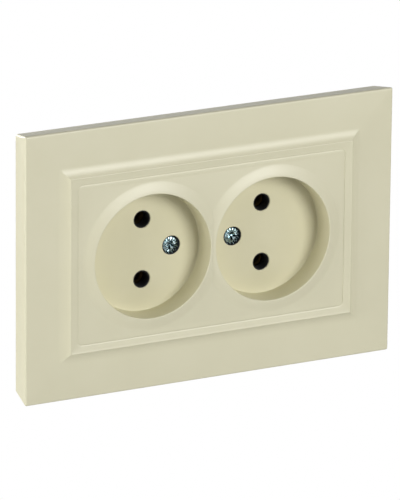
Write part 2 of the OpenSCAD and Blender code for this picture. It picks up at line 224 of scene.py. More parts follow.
# Injection-moulded ABS from a polished tool with a faint spark texture: a soft, even sheen.
CREAM_ABS = Finish(
    "ABS cream, injection moulded",
    colours=("#CFCBB0", "#D1CDB2", "#D3CFB5"),
    mottle_mm=22.0,
    roughness=(0.36, 0.43),
    grain_mm=0.35,
    relief_mm=0.003,
)
# The same ABS inside the wells, a little duller, and warmer in colour as painted bounce light from
# the wells' cream walls.
CREAM_ABS_WELL_BOUNCE = Finish(
    "ABS cream, cored side",
    colours=("#CEC9A8", "#D0CBAB", "#D2CDAE"),
    mottle_mm=15.0,
    roughness=(0.38, 0.45),
    grain_mm=0.3,
    relief_mm=0.003,
)
# Phenolic resin with wood flour, compression moulded: near black, dull, slightly flecked.
BLACK_PHENOLIC = Finish(
    "phenolic resin black, compression moulded",
    colours=("#121212", "#191918", "#232321"),
    mottle_mm=1.2,
    roughness=(0.42, 0.6),
    grain_mm=0.5,
    relief_mm=0.01,
)
# Glass-filled polyamide, moulded: black, with a dry sheen.
BLACK_POLYAMIDE = Finish(
    "polyamide black, glass filled, moulded",
    colours=("#1A1A1B", "#202022", "#27282A"),
    mottle_mm=2.0,
    roughness=(0.5, 0.65),
    grain_mm=0.4,
    relief_mm=0.012,
)
# Cold-rolled strip, zinc plated: pale grey with a faint rolling grain across the width.
ZINC_STRIP = Finish(
    "steel strip, zinc plated",
    colours=("#9DA2A6", "#AAAFB3", "#B8BCBF"),
    mottle_mm=5.0,
    roughness=(0.28, 0.42),
    grain_mm=0.6,
    relief_mm=0.004,
    metallic=1.0,
    stretch=(0.25, 1.0, 1.0),
)
# Turned steel, zinc plated and blue passivated: a cool tint and a sharper gloss.
ZINC_BRIGHT = Finish(
    "steel, zinc plated and blue passivated",
    colours=("#8F98A8", "#A2ABB9", "#B6BDC8"),
    mottle_mm=1.5,
    roughness=(0.2, 0.34),
    grain_mm=0.3,
    relief_mm=0.004,
    metallic=1.0,
)
# The same plating, sharper and passivated blue-green: hard glints, and dark in its hollows.
ZINC_TEAL = Finish(
    "steel, zinc plated and blue-green passivated",
    colours=("#687B80", "#8FA3A7", "#BECBCC"),
    mottle_mm=0.7,
    roughness=(0.08, 0.2),
    grain_mm=0.25,
    relief_mm=0.004,
    metallic=1.0,
)
# Drawn brass strip of the contacts, darkened as painted shade for the contacts deep in the pin
# holes.
BRASS_PAINTED_SHADE = Finish(
    "brass strip, browned",
    colours=("#4A3C22", "#5A4A2B", "#6B5833"),
    mottle_mm=3.0,
    roughness=(0.35, 0.5),
    grain_mm=0.5,
    relief_mm=0.003,
    metallic=1.0,
    stretch=(0.3, 1.0, 1.0),
)
# Drawn brass strip, a little dulled by handling.
BRASS_STRIP = Finish(
    "brass strip, drawn",
    colours=("#B08D45", "#C4A257", "#D0B06A"),
    mottle_mm=4.0,
    roughness=(0.26, 0.4),
    grain_mm=0.5,
    relief_mm=0.003,
    metallic=1.0,
    stretch=(0.3, 1.0, 1.0),
)
# Spring steel wire, bare and lightly oiled.
SPRING_WIRE = Finish(
    "spring steel wire, oiled",
    colours=("#70757A", "#83888D", "#969A9E"),
    mottle_mm=0.8,
    roughness=(0.22, 0.32),
    grain_mm=0.2,
    relief_mm=0.002,
    metallic=1.0,
)


# ---------------------------------------------------------------- mesh tools


def ring_steps(steps: int) -> list[tuple[float, float, int, int]]:
    """Directions round a rounded rectangle, the same number in each corner.

    Args:
        steps: Points in each corner's arc.

    Returns:
        Cosine, sine and the corner's two signs for each point, in order.
    """
    out = []
    for quarter in range(4):
        sx, sz = ((1, 1), (-1, 1), (-1, -1), (1, -1))[quarter]
        for k in range(steps):
            angle = math.radians(90 * (quarter + k / (steps - 1)))
            out.append((math.cos(angle), math.sin(angle), sx, sz))
    return out


@dataclass
class RectLoft:
    """A skin drawn through rounded rectangles that share one centre.

    Attributes:
        steps: Points in each corner's arc.
        bm: The mesh in work.
        ring: Points of the present rectangle, in order.
        edges: Edges of the present rectangle, in order.
    """

    steps: int = 7
    bm: BMesh = field(default_factory=bmesh.new)
    ring: list[BMVert] = field(default_factory=list)
    edges: list[BMEdge] = field(default_factory=list)

    def start(self, half_w: float, half_h: float, y: float, radius: float) -> "RectLoft":
        """Draw the first rectangle; the sizes are in millimetres.

        Args:
            half_w: Half its width.
            half_h: Half its height.
            y: Its place along Y.
            radius: Radius of its corners.

        Returns:
            The loft itself.
        """
        made = bmesh.ops.create_circle(
            self.bm, cap_ends=False, radius=1.0, segments=4 * self.steps
        )
        self.ring = list(made["verts"])
        self.edges = [self._edge(a, b) for a, b in zip(self.ring, self.ring[1:] + self.ring[:1])]
        self._place(half_w, half_h, y, radius)
        return self

    def _edge(self, a: BMVert, b: BMVert) -> BMEdge:
        """The edge between two points that are joined."""
        return next(e for e in a.link_edges if e.other_vert(a) is b)

    def _place(self, half_w: float, half_h: float, y: float, radius: float) -> None:
        """Move the present ring on to a rounded rectangle, given as to start."""
        for vert, (c, s, sx, sz) in zip(self.ring, ring_steps(self.steps)):
            x = sx * (half_w - radius) + radius * c
            z = sz * (half_h - radius) + radius * s
            vert.co = Vector((x, y, z)) * MM

    def to(self, half_w: float, half_h: float, y: float, radius: float) -> "RectLoft":
        """Extrude the present ring and move it on to a rounded rectangle, given as to start.

        Returns:
            The loft itself.
        """
        made = bmesh.ops.extrude_edge_only(self.bm, edges=self.edges)["geom"]
        fresh = {v for v in made if isinstance(v, BMVert)}
        old = self.ring
        self.ring = [
            next(e.other_vert(v) for e in v.link_edges if e.other_vert(v) in fresh) for v in old
        ]
        self.edges = [self._edge(a, b) for a, b in zip(self.ring, self.ring[1:] + self.ring[:1])]
        self._place(half_w, half_h, y, radius)
        return self

    def cap(self) -> "RectLoft":
        """Close the present ring with one face."""
        bmesh.ops.contextual_create(self.bm, geom=self.edges)
        return self


def spun(profile: Profile, segments: int) -> BMesh:
    """Spin a closed profile about the Y axis.

    Args:
        profile: Radius and Y of each point, in millimetres, in order.
        segments: Steps round the full turn.

    Returns:
        The closed skin.
    """
    bm = bmesh.new()
    verts = [bm.verts.new(Vector((r, y, 0)) * MM) for r, y in profile]
    edges = [bm.edges.new(pair) for pair in zip(verts, verts[1:] + verts[:1])]
    bmesh.ops.spin(
        bm,
        geom=verts + edges,
        cent=(0, 0, 0),
        axis=(0, 1, 0),
        angle=math.tau,
        steps=segments,
        use_merge=True,
    )
    bmesh.ops.remove_doubles(bm, verts=bm.verts, dist=WELD)
    bmesh.ops.recalc_face_normals(bm, faces=bm.faces)
    return bm


def arc(
    cx: float, cy: float, radius: float, start: float, end: float, steps: int
) -> list[tuple[float, float]]:
    """Points along an arc.

    Args:
        cx: First coordinate of its centre.
        cy: Second coordinate of its centre.
        radius: Its radius.
        start: First angle in degrees.
        end: Last angle in degrees.
        steps: Steps between the two.

    Returns:
        The points, both ends included.
    """
    angles = [math.radians(start + (end - start) * k / steps) for k in range(steps + 1)]
    return [(cx + radius * math.cos(a), cy + radius * math.sin(a)) for a in angles]


def roll(width: float, depth: float, steps: int) -> list[tuple[float, float]]:
    """A soft curve that turns a face down into a joint.

    Args:
        width: How far the face starts to turn before its edge.
        depth: How deep the turn goes.
        steps: Steps along it.

    Returns:
        Distance still to go to the edge, and the depth reached, from the face to the edge.
    """
    last = math.radians(ROLL_END_DEG)
    reach, fall = math.sin(last), 1 - math.cos(last)
    angles = [last * k / steps for k in range(steps + 1)]
    return [(width * (1 - math.sin(a) / reach), depth * (1 - math.cos(a)) / fall) for a in angles]


def shade(bm: BMesh, sharp_deg: float) -> None:
    """Make a mesh smooth except along its sharp edges.

    Args:
        bm: The mesh in work.
        sharp_deg: Edges that turn more than this stay crisp.
    """
    for face in bm.faces:
        face.smooth = True
    for edge in bm.edges:
        turn = edge.calc_face_angle(0.0) if edge.is_manifold else 0.0
        edge.smooth = turn <= math.radians(sharp_deg)


def to_object(bm: BMesh, name: str, sharp_deg: float = CRISP_DEG) -> Object:
    """Write a bmesh to a new object, smooth except along its sharp edges.

    Args:
        bm: The mesh in work, which is freed.
        name: Name of the object and its mesh.
        sharp_deg: Edges that turn more than this stay crisp.

    Returns:
        The object, linked to the scene.
    """
    shade(bm, sharp_deg)
    mesh = bpy.data.meshes.new(name)
    bm.to_mesh(mesh)
    bm.free()
    made = bpy.data.objects.new(name, mesh)
    bpy.context.scene.collection.objects.link(made)
    return made


def combine(
    base: BMesh, tools: Iterable[tuple[BMesh, str]], name: str, sharp_deg: float
) -> Object:
    """Join or cut closed meshes, one after another.

    Args:
        base: The mesh to start from.
        tools: Each further mesh and UNION or DIFFERENCE.
        name: Name of the finished object.
        sharp_deg: Edges that turn more than this stay crisp.

    Returns:
        The finished object.
    """
    made = to_object(base, name, sharp_deg)
    for number, (tool, how) in enumerate(tools):
        other = to_object(tool, f"{name}_tool_{number}", sharp_deg)
        step = made.modifiers.new("step", "BOOLEAN")
        step.operation, step.object, step.solver = how, other, "EXACT"
        ready = made.evaluated_get(bpy.context.evaluated_depsgraph_get())
        shape = bpy.data.meshes.new_from_object(ready)
        made.modifiers.clear()
        old, made.data = made.data, shape
        bpy.data.meshes.remove(old)
        bpy.data.objects.remove(other)
    bm = bmesh.new()
    bm.from_mesh(made.data)
    bmesh.ops.remove_doubles(bm, verts=bm.verts, dist=CUT_WELD)
    bmesh.ops.dissolve_degenerate(bm, edges=bm.edges, dist=SLIVER)
    shade(bm, sharp_deg)
    bm.to_mesh(made.data)
    bm.free()
    made.data.name = name
    return made


def settle(piece: Object, body: str, finish: Finish, node: str = "") -> Object:
    """Give a finished piece its body, its finish and the CAD node that it stands for.

    Args:
        piece: The piece.
        body: Body that carries it.
        finish: Its finish, unless it has one already.
        node: CAD node that it replaces, if any.

    Returns:
        The same piece.
    """
    if not piece.data.materials:
        piece.data.materials.append(finish.make())
    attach(piece, body)
    if node:
        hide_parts(node)
    LOG.info("%s: %d faces on %s", piece.name, len(piece.data.polygons), body)
    return piece


# ---------------------------------------------------------------- frame


@dataclass
class SurroundFrame:
    """The cream frame with its raised, mitred moulding; sizes in millimetres.

    Attributes:
        half_w: Half the width where the sides would meet the front, were it not rounded.
        half_h: Half the height there.
        depth: From the wall to the flat.
        lean_w: How far the left and right sides lean in towards the wall.
        lean_h: How far the top and bottom sides lean in towards the wall.
        edge: Radius of the front edge.
        edge_steps: Steps round that edge.
        corner: Radius of the outer corners, seen from the front.
        corner_min: Least radius that a corner shrinks to across the front edge.
        back_corner: Radius of the inner corners at the back.
        rim_ease: Small chamfer between the back rim and the sides.
        crest_w: Half the width of the moulding's crest.
        crest_h: Half the height of the moulding's crest.
        crest_rise: How far the crest stands out from the flat.
        crest_round: Way out from the crest and fall below it of each step of its round.
        cove: Width of the concave moulding.
        cove_steps: Steps across it.
        window_w: Half the width of the opening for the cover.
        window_h: Half the height of the opening.
        window_corner: Radius of the opening's corners.
        strip: Way in from the crest and fall below it of the strip beside it.
        strip_fall: How far the strip's inner edge lies below the crest.
        lip: Width of the soft turn into the opening.
        lip_start: How far outside the opening the turn's outer end is let run out.
        lip_lift: How much less the strip has fallen where the turn begins.
        lip_drop: Depth of the turn.
        lip_steps: Steps along it.
        ledge: Width of the ledge that the cover rests on.
        ledge_y: The ledge's front face.
        ledge_t: The ledge's thickness.
        ledge_corner: Radius of the ledge's corners.
        wall: Thickness of the sides.
        wall_ease: How much thicker the wall is at the root of the sides.
        mitre: Radius left in the moulding's mitred corners.
        sharp_deg: Edges that turn more than this stay crisp.
    """

    half_w: float = 62.3
    half_h: float = 42.4
    depth: float = 9.2
    lean_w: float = 1.2
    lean_h: float = 1.7
    edge: float = 0.6
    edge_steps: int = 9
    corner: float = 0.75
    corner_min: float = 0.3
    back_corner: float = 0.6
    rim_ease: float = 0.15
    crest_w: float = 47.75
    crest_h: float = 27.6
    crest_rise: float = 1.45
    crest_round: Profile = ((0.1, 0.075), (0.02, 0.022), (-0.06, 0.004))
    cove: float = 3.55
    cove_steps: int = 14
    window_w: float = 45.31
    window_h: float = 25.16
    window_corner: float = 1.5
    strip: Profile = ((0.14, 0.005), (0.3, 0.045), (0.5, 0.09), (0.75, 0.12))
    strip_fall: float = 0.22
    lip: float = 0.85
    lip_start: float = 0.2
    lip_lift: float = 0.055
    lip_drop: float = 0.14
    lip_steps: int = 7
    ledge: float = 1.5
    ledge_y: float = -8.0
    ledge_t: float = 1.0
    ledge_corner: float = 1.2
    wall: float = 2.2
    wall_ease: float = 0.3
    mitre: float = 0.08
    sharp_deg: float = 40.0

    def outer_side(self, loft: RectLoft) -> None:
        """Draw the back rim, the leaning side and the rounded front edge.

        Args:
            loft: The loft, not yet started.
        """
        lean = (self.lean_w + self.lean_h) / 2
        slant = math.sqrt(lean**2 + self.depth**2)
        foot_w, foot_h = self.half_w - self.lean_w, self.half_h - self.lean_h
        ease = self.rim_ease
        loft.start(foot_w - self.wall, foot_h - self.wall, 0.0, self.back_corner)
        loft.to(foot_w - ease, foot_h - ease, 0.0, self.corner)
        loft.to(foot_w, foot_h, -ease, self.corner)
        start = math.degrees(math.atan2(lean, self.depth))
        inset = self.edge * (slant + lean) / self.depth
        front = self.edge - self.depth
        for dx, y in arc(-inset, front, self.edge, start, -90, self.edge_steps):
            corner = max(self.corner + dx, self.corner_min)
            loft.to(self.half_w + dx, self.half_h + dx, y, corner)

    def moulding(self, loft: RectLoft) -> None:
        """Draw the cove, which rises steeper and steeper to a softly rounded crest.

        Args:
            loft: The loft, which stands on the flat.
        """
        bend = (self.cove**2 + self.crest_rise**2) / (2 * self.crest_rise)
        end = math.degrees(math.atan2(bend - self.crest_rise, -self.cove))
        for dx, y in arc(self.cove, -self.depth - bend, bend, 90, end, self.cove_steps)[:-1]:
            loft.to(self.crest_w + dx, self.crest_h + dx, y, self.mitre * (1 + dx))
        top = -self.depth - self.crest_rise
        for dx, fall in self.crest_round:
            loft.to(self.crest_w + dx, self.crest_h + dx, top + fall, self.mitre)

    def inner_side(self, loft: RectLoft) -> None:
        """Draw the strip, its soft turn into the opening, the ledge and the back.

        Args:
            loft: The loft, which stands on the crest.
        """
        top = -self.depth - self.crest_rise
        seam = top + self.strip_fall
        width, height, corner = self.window_w, self.window_h, self.window_corner
        for dx, fall in self.strip:
            loft.to(self.crest_w - dx, self.crest_h - dx, top + fall, self.mitre + 0.2 * dx)
        out = self.lip_start + self.lip
        loft.to(width + out, height + out, seam - self.lip_lift, corner + 0.4)
        for dx, drop in roll(self.lip, self.lip_drop, self.lip_steps):
            loft.to(width + dx, height + dx, seam + drop, corner + dx)
        loft.to(width, height, self.ledge_y, corner)
        width, height = width - self.ledge, height - self.ledge
        back = self.ledge_y + self.ledge_t
        loft.to(width, height, self.ledge_y, self.ledge_corner)
        loft.to(width, height, back, self.ledge_corner)
        inset = self.wall + self.wall_ease
        loft.to(self.half_w - inset, self.half_h - inset, back, self.back_corner)
        foot_w, foot_h = self.half_w - self.lean_w, self.half_h - self.lean_h
        loft.to(foot_w - self.wall, foot_h - self.wall, 0.0, self.back_corner)

    def build(self) -> Object:
        """Loft the section round the four sides and close it on itself."""
        loft = RectLoft()
        self.outer_side(loft)
        self.moulding(loft)
        self.inner_side(loft)
        bmesh.ops.remove_doubles(loft.bm, verts=loft.bm.verts, dist=WELD)
        bmesh.ops.recalc_face_normals(loft.bm, faces=loft.bm.faces)
        made = to_object(loft.bm, "surround_frame", self.sharp_deg)
        return settle(made, "frame", CREAM_ABS, "outer_frame")


# ---------------------------------------------------------------- cover


@dataclass
class TwinWellCover:
    """The cream cover plate with its two wells; sizes in millimetres.

    Attributes:
        half_w: Half the plate's width.
        half_h: Half its height.
        corner: Radius of its corners.
        corner_steps: Points in each corner's arc.
        edge: Width of the soft turn at its front edge.
        edge_drop: Depth of that turn.
        edge_steps: Steps along it.
        edge_in: How far the last ring before the flat face lies inside the edge.
        edge_in_corner: How much smaller that ring's corners are than the plate's.
        back_ease: Small chamfer of its back edge.
        face_y: The plate's front face.
        back_y: The plate's back face.
        well_x: From the middle to each well's axis.
        well_r: Radius of a well at its mouth.
        rim_y: Crest of a well's raised rim.
        rim_w: Width of the rim.
        crest_out: From a well's mouth out to the middle of the crest.
        crest_end: Way out and fall at the end of the crest's round.
        rim_slope: Way out from the well and share of the rise of each point of the rim's slope.
        run_out: Way out from the rim and depth past the face where the slope meets the plate.
        cup_wall: Thickness of a well's wall.
        floor_y: A well's floor.
        floor_back_y: The back of that floor.
        root: Radius of the small fillets in and round a well.
        lip: Way out from a well's wall and depth past the crest of the middle of its lip.
        flare: How much wider a well's cutter is above the rim.
        pin_z: From the middle to each pin hole's axis.
        pin_r: Radius of a pin hole.
        pin_mouth: Way out from the hole and depth past the floor along the round of its mouth.
        pin_end_y: Where the hole's cutter ends, behind the floor.
        screw_x: From the middle to each screw's axis.
        boss_r: Radius of the boss behind a screw's hole.
        boss_y: The back of that boss.
        sink_r: Radius of the hole that takes a screw's head.
        sink_mouth: Way out from that hole and depth past the floor along the round of its mouth.
        sink_y: Its seat.
        shank_hole_r: Radius of the hole for the screw's shank.
        sharp_deg: Edges that turn more than this stay crisp.
        duller_mm: How far behind the rim's crest the duller finish of the wells, warmed with
            painted bounce light, starts.
    """

    half_w: float = 45.28
    half_h: float = 25.13
    corner: float = 1.38
    corner_steps: int = 9
    edge: float = 0.85
    edge_drop: float = 0.09
    edge_steps: int = 8
    edge_in: float = 1.4
    edge_in_corner: float = 0.9
    back_ease: float = 0.1
    face_y: float = -10.3
    back_y: float = -8.3
    well_x: float = 20.4
    well_r: float = 19.45
    rim_y: float = -11.2
    rim_w: float = 3.7
    crest_out: float = 0.42
    crest_end: tuple[float, float] = (0.95, 0.07)
    rim_slope: Profile = ((1.6, 0.26), (2.3, 0.5), (2.9, 0.72), (3.4, 0.88))
    run_out: Profile = ((0.1, -0.03), (0.5, 0.03), (0.5, 0.6))
    cup_wall: float = 1.5
    floor_y: float = -3.34
    floor_back_y: float = -1.5
    root: float = 0.3
    lip: tuple[float, float] = (0.38, 0.28)
    flare: float = 0.6
    pin_z: float = 9.5
    pin_r: float = 2.78
    pin_mouth: Profile = ((0.22, 0.0), (0.07, 0.07), (0.0, 0.22))
    pin_end_y: float = 0.5
    screw_x: float = 10.47
    boss_r: float = 4.2
    boss_y: float = 1.0
    sink_r: float = 3.0
    sink_mouth: Profile = ((0.18, 0.0), (0.05, 0.06), (0.0, 0.2))
    sink_y: float = -1.3
    shank_hole_r: float = 1.75
    sharp_deg: float = 14.0
    duller_mm: float = 1.2

    def plate(self) -> BMesh:
        """The closed plate with its rounded front edge."""
        loft, ease, inset = RectLoft(steps=self.corner_steps), self.back_ease, self.edge_in
        loft.start(self.half_w - ease, self.half_h - ease, self.back_y, self.corner - ease).cap()
        loft.to(self.half_w, self.half_h, self.back_y - ease, self.corner)
        for dx, drop in reversed(roll(self.edge, self.edge_drop, self.edge_steps)):
            loft.to(self.half_w - dx, self.half_h - dx, self.face_y + drop, self.corner - dx)
        corner = self.corner - self.edge_in_corner
        loft.to(self.half_w - inset, self.half_h - inset, self.face_y, corner).cap()
        bmesh.ops.recalc_face_normals(loft.bm, faces=loft.bm.faces)
        return loft.bm

    def well(self, side: Side) -> BMesh:
        """The closed solid of one well's rim and cup, not yet hollowed.

        Args:
            side: Which well.
        """
        r, out, rise = self.well_r, self.well_r + self.rim_w, self.face_y - self.rim_y
        cup, back, root = r + self.cup_wall, self.floor_back_y, self.root
        crest = arc(r + self.crest_out, self.rim_y + root, root, 270, 285, 2)
        # the slope leaves the crest straight and runs out into the plate in a soft curve
        slope = [(r + self.crest_end[0], self.rim_y + self.crest_end[1])]
        slope += [(r + dx, self.rim_y + share * rise) for dx, share in self.rim_slope]
        slope += [(out + dx, self.face_y + dy) for dx, dy in self.run_out]
        under = [(cup, self.back_y - 0.2), (cup, back - root), (cup - root, back)]
        axis = [(0.0, back), (0.0, self.rim_y)]
        bm = spun(crest + slope + under + axis, WELL_STEPS)
        return self.moved(bm, side.value * self.well_x, 0.0)

    def hollow(self, side: Side) -> BMesh:
        """The closed cutter for one well: a bore with an eased lip and a small root fillet.

        Args:
            side: Which well.
        """
        r, mouth_r, above = self.well_r, self.well_r + self.flare, self.rim_y - 2
        mouth = [(0.0, above), (mouth_r, above), (mouth_r, self.rim_y - 0.25)]
        lip = arc(r + self.lip[0], self.rim_y + self.lip[1], self.root, 270, 180, 6)
        root = arc(r - self.root, self.floor_y - self.root, self.root, 0, 90, 5)
        bm = spun(mouth + lip + root + [(0.0, self.floor_y)], WELL_STEPS)
        return self.moved(bm, side.value * self.well_x, 0.0)

    def boss(self, side: Side) -> BMesh:
        """The closed solid of the boss behind one screw's hole.

        Args:
            side: Which well.
        """
        r, front, back = self.boss_r, self.floor_back_y - 1, self.boss_y
        round_off = [(r, back - self.root), (r - self.root, back)]
        section = [(0.0, front), (r, front)] + round_off + [(0.0, back)]
        return self.moved(spun(section, HOLE_STEPS), side.value * self.screw_x, 0.0)

    def pin_hole(self, side: Side, pole: Pole) -> BMesh:
        """The closed cutter for one pin hole, with a small round on its mouth.

        Args:
            side: Which well.
            pole: Which row.
        """
        end = [(self.pin_r, self.pin_end_y), (0.0, self.pin_end_y)]
        bm = spun(self.mouth(self.pin_r, self.pin_mouth) + end, HOLE_STEPS)
        return self.moved(bm, side.value * self.well_x, pole.value * self.pin_z)

    def screw_hole(self, side: Side) -> BMesh:
        """The closed cutter for one screw's head and shank.

        Args:
            side: Which well.
        """
        r, end = self.shank_hole_r, self.boss_y + 1
        seat = [(self.sink_r, self.sink_y), (r, self.sink_y), (r, end), (0.0, end)]
        bm = spun(self.mouth(self.sink_r, self.sink_mouth) + seat, HOLE_STEPS)
        return self.moved(bm, side.value * self.screw_x, 0.0)

    def mouth(self, radius: float, ease: Profile) -> list[tuple[float, float]]:
        """The front part of a hole's cutter, with a small round where it meets the floor.

        Args:
            radius: Radius of the hole.
            ease: Way out from the hole and depth past the floor along the round.

        Returns:
            Radius and Y of each point, from the axis in front of the floor.
        """
        front, wide = self.floor_y - 1, radius + ease[0][0]
        return [(0.0, front), (wide, front)] + [(radius + dx, self.floor_y + y) for dx, y in ease]

    @staticmethod
    def moved(bm: BMesh, x: float, z: float) -> BMesh:
        """Move a mesh to its place; the distances are in millimetres."""
        bmesh.ops.translate(bm, verts=bm.verts, vec=Vector((x, 0, z)) * MM)
        return bm

    def build(self) -> Object:
        """Join the plate, wells and bosses, and cut the wells and holes."""
        tools = [(self.well(side), "UNION") for side in Side]
        tools += [(self.boss(side), "UNION") for side in Side]
        tools += [(self.hollow(side), "DIFFERENCE") for side in Side]
        for side in Side:
            tools += [(self.pin_hole(side, pole), "DIFFERENCE") for pole in Pole]
            tools.append((self.screw_hole(side), "DIFFERENCE"))
        cover = combine(self.plate(), tools, "twin_well_cover", self.sharp_deg)
        self.dress(cover)
        return settle(cover, "cover", CREAM_ABS, "front_cover")

    def dress(self, cover: Object) -> None:
        """Give the wells' floors and walls their duller finish, whose warmer colour is painted
        bounce light.

        Args:
            cover: The finished cover.
        """
        cover.data.materials.clear()
        cover.data.materials.append(CREAM_ABS.make())
        cover.data.materials.append(CREAM_ABS_WELL_BOUNCE.make())
        # faces behind the rim's crest take the duller finish, warmed with painted bounce light
        for face in cover.data.polygons:
            face.material_index = int(face.center.y > (self.rim_y + self.duller_mm) * MM)


# ---------------------------------------------------------------- screws


@dataclass
class CrossHeadScrew:
    """A cover screw with a toothed head and a cross in a dish; sizes in millimetres.

    Attributes:
        side: Which well it stands in.
        x: Its place along X.
        turn_deg: How far its cross is turned.
        head_y: The head's front.
        head_r: Radius of the head.
        head_t: Thickness of the head.
        slope: How far the head falls off from its flat to its rim.
        dome: Radius and share of the fall of each point of the head's dome.
        dish_r: Radius of the dish in the middle of the head.
        dish_t: Depth of the dish.
        slot_w: Width of the cross's arms.
        teeth: Teeth round the head.
        tooth: Depth of the teeth.
        tooth_run: How far out from the dish a tooth reaches its full depth.
        shank_r: Radius of the shank over its thread.
        shank_l: Length of the shank.
        thread_d: Depth of the thread.
        thread_from: From the back of the head to the first turn of the thread.
        pitch: Pitch of the thread.
        tip_l: Length of the tip that carries no thread.
        tip_d: How much smaller the end of the tip is than the shank.
        sharp_deg: Edges that turn more than this stay crisp.
    """

    side: Side
    x: float
    turn_deg: float
    head_y: float = -3.05
    head_r: float = 2.75
    head_t: float = 1.7
    slope: float = 0.4
    dome: Profile = (
        (1.35, 0.0),
        (1.55, 0.03),
        (1.8, 0.09),
        (2.05, 0.19),
        (2.25, 0.31),
        (2.42, 0.45),
        (2.55, 0.61),
        (2.65, 0.8),
        (2.71, 1.0),
    )
    dish_r: float = 1.25
    dish_t: float = 0.8
    slot_w: float = 0.85
    teeth: int = 15
    tooth: float = 0.36
    tooth_run: float = 0.35
    shank_r: float = 1.5
    shank_l: float = 9.0
    thread_d: float = 0.22
    thread_from: float = 0.8
    pitch: float = 0.5
    tip_l: float = 0.9
    tip_d: float = 0.35
    sharp_deg: float = 24.0

    def arm(self, number: int) -> BMesh:
        """The closed cutter for one arm of the cross, narrower at its bottom.

        Args:
            number: 0 or 1.
        """
        long, deep, above = self.head_r * 1.22, self.head_t * 0.8, 1.0
        bm = bmesh.new()
        bmesh.ops.create_cube(bm, size=1.0)
        bmesh.ops.scale(bm, verts=bm.verts, vec=Vector((long, deep + above, self.slot_w)) * MM)
        bmesh.ops.translate(bm, verts=bm.verts, vec=(0, (deep - above) / 2 * MM, 0))
        bottom = [v for v in bm.verts if v.co.y > 0]
        bmesh.ops.scale(bm, verts=bottom, vec=(0.5, 1.0, 0.75))
        turn = Matrix.Rotation(math.radians(self.turn_deg + 90 * number), 3, "Y")
        bmesh.ops.rotate(bm, verts=bm.verts, cent=(0, 0, 0), matrix=turn)
        return bm

    def dish(self) -> BMesh:
        """The closed cutter for the dish in the middle of the head."""
        r, deep = self.dish_r, self.dish_t
        mouth = [(0.0, -1.0), (r + 0.02, -1.0), (r + 0.02, -0.02), (r - 0.1, 0.1)]
        return spun(mouth + [(0.2 * r, deep), (0.0, deep)], 48)

    def serrate(self, bm: BMesh) -> None:
        """Press a ring of radial teeth into the dome of the spun screw's head."""
        for vert in bm.verts:
            x, y, z = (c / MM for c in vert.co)
            r = math.hypot(x, z)
            if self.dish_r + 0.05 < r < self.head_r + 0.01 and y < self.slope + 0.25:
                share = min((r - self.dish_r) / self.tooth_run, 1.0)
                wave = 0.5 + 0.5 * math.cos(self.teeth * math.atan2(z, x))
                vert.co.y += self.tooth * share * wave**1.5 * MM

    def section(self) -> list[tuple[float, float]]:
        """Radius and Y along the screw's section, from the middle of the head to the tip."""
        r, t, shank, end = self.head_r, self.head_t, self.shank_r, self.head_t + self.shank_l
        head = [(0.0, 0.0), (0.7, 0.0)] + [(x, y * self.slope) for x, y in self.dome]
        rim = [(r, self.slope + 0.3), (r, t - 0.08), (r - 0.08, t)]
        neck = [(shank + 0.12, t), (shank, t + 0.15)]
        thread: list[tuple[float, float]] = []
        y = t + self.thread_from
        while y < end - self.tip_l:
            thread += [(shank - self.thread_d, y), (shank, y + self.pitch * 0.5)]
            y += self.pitch
        tip = [(shank - self.thread_d, y), (shank - self.tip_d, end), (0.0, end)]
        return head + rim + neck + thread + tip

    def build(self) -> Object:
        """Turn the screw, press its teeth and cut its recess."""
        word = self.side.name.lower()
        solid = spun(self.section(), 8 * self.teeth)
        self.serrate(solid)
        cutters = [self.dish()] + [self.arm(number) for number in range(2)]
        tools = [(cutter, "DIFFERENCE") for cutter in cutters]
        screw = combine(solid, tools, f"cover_fixing_{word}", self.sharp_deg)
        screw.data.transform(Matrix.Translation(Vector((self.x, self.head_y, 0.0)) * MM))
        node = f"cover_screw_{word}"
        return settle(screw, f"{node}_body", ZINC_TEAL, node)


# ---------------------------------------------------------------- black sleeves


@dataclass(frozen=True)
class BlackSleeve:
    """A thin black sleeve in a round hole of the cover; sizes in millimetres. Round a screw's head
    it is painted shade.

    Attributes:
        name: Its name.
        body: Body that carries it.
        x: Its place along X.
        z: Its place along Z.
        outer_r: Its outer radius.
        inner_r: Radius of its bore.
        front_y: Its front.
        back_y: Its back.
    """

    name: str
    body: str
    x: float
    z: float
    outer_r: float
    inner_r: float
    front_y: float
    back_y: float

    def build(self) -> Object:
        """Turn the sleeve with a small chamfer on its mouth."""
        a, b, f, e = self.outer_r, self.inner_r, self.front_y, 0.05
        mouth = [(a, f + e), (a - e, f), (b + e, f), (b, f + e)]
        bm = spun([(a, self.back_y)] + mouth + [(b, self.back_y)], HOLE_STEPS)
        bmesh.ops.translate(bm, verts=bm.verts, vec=Vector((self.x, 0, self.z)) * MM)
        sleeve = to_object(bm, self.name, 30.0)
        return settle(sleeve, self.body, BLACK_POLYAMIDE)


